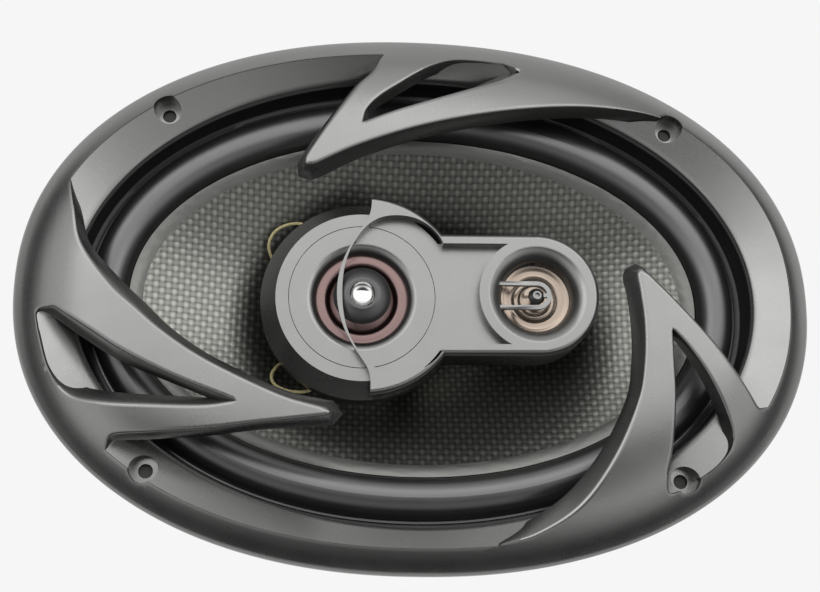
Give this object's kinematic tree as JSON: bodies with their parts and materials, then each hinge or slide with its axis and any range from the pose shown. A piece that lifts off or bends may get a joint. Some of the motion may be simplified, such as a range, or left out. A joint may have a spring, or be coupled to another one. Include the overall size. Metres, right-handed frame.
{
  "type": "coaxial car speaker",
  "caption": "Oval three-way coaxial car speaker with a clawed grille rim, woven cone, and a pod that carries a tweeter and a supertweeter.",
  "frame": {"origin": "centre of the mounting plane, where the rim's underside meets the panel", "axes": "+Z out of the face; +X along the oval's long axis, towards the supertweeter"},
  "size_m": [0.24, 0.1668, 0.0982],
  "materials": {
    "moulded_abs": "satin fine-grained",
    "foam": "closed-cell foam",
    "painted_steel": "black satin powder coat",
    "plated_steel": "bright zinc plate",
    "ferrite": "ground sintered ferrite",
    "cone_paper": "pressed pulp",
    "woven_skin": "plain weave, lacquered",
    "surround_rubber": "satin butyl rubber",
    "spider_cloth": "resin-dipped cotton",
    "former_aluminium": "thin foil",
    "copper_wire": "enamelled copper wire",
    "rose_film": "rose metallised film",
    "silver_film": "silver metallised film",
    "mirror_chrome": "mirror",
    "capacitor_sleeve": "shrink sleeve",
    "phenolic_board": "paper phenolic",
    "brass_plate": "tinned brass",
    "braided_lead": "braided tinsel",
    "solder": "dull solder"
  },
  "bodies": {
    "frame": {"basket": "painted_steel", "basket_rivets": "plated_steel", "front_lead_lower": "braided_lead", "front_lead_upper": "braided_lead", "grille": "moulded_abs", "magnet_ring": "ferrite", "mounting_gasket": "foam", "phase_plug_mirror": "mirror_chrome", "pod_bolt": "plated_steel", "pod_housing": "moulded_abs", "pod_post": "plated_steel", "pod_trim": "moulded_abs", "rear_lead_negative": "braided_lead", "rear_lead_positive": "braided_lead", "spider": "spider_cloth", "supertweeter_bridge": "moulded_abs", "supertweeter_bullet": "moulded_abs", "supertweeter_motor": "plated_steel", "supertweeter_retainer": "moulded_abs", "surround": "surround_rubber", "terminal_board": "phenolic_board", "terminal_rivets": "brass_plate", "terminal_tab_negative": "brass_plate", "terminal_tab_positive": "brass_plate", "top_plate": "plated_steel", "tweeter_capacitor": "capacitor_sleeve", "tweeter_cup": "plated_steel", "tweeter_faceplate": "moulded_abs", "tweeter_magnet": "plated_steel", "tweeter_phase_plug": "moulded_abs", "tweeter_pole": "plated_steel", "tweeter_retainer": "moulded_abs", "yoke": "plated_steel"},
    "cone_assembly": {"cone": "cone_paper", "cone_weave": "woven_skin", "voice_coil_former": "former_aluminium", "voice_coil_winding": "copper_wire", "front_solder": "solder", "rear_solder": "solder"},
    "tweeter_moving": {"tweeter_diaphragm": "rose_film", "tweeter_coil": "copper_wire"},
    "supertweeter_moving": {"supertweeter_diaphragm": "silver_film"}
  },
  "joints": [
    {"name": "cone_travel", "type": "slide", "parent": "frame", "child": "cone_assembly", "axis": [0, 0, 1], "range_m": [-0.006, 0.006], "stiffness_N_per_m": 2600, "deforming": ["surround", "spider", "front_lead_upper", "front_lead_lower", "rear_lead_positive", "rear_lead_negative"]},
    {"name": "tweeter_travel", "type": "slide", "parent": "frame", "child": "tweeter_moving", "axis": [0, 0, 1], "range_m": [-0.0003, 0.0003], "stiffness_N_per_m": 1500},
    {"name": "supertweeter_travel", "type": "slide", "parent": "frame", "child": "supertweeter_moving", "axis": [0, 0, 1], "range_m": [-0.0001, 0.0001], "stiffness_N_per_m": 1500}
  ]
}
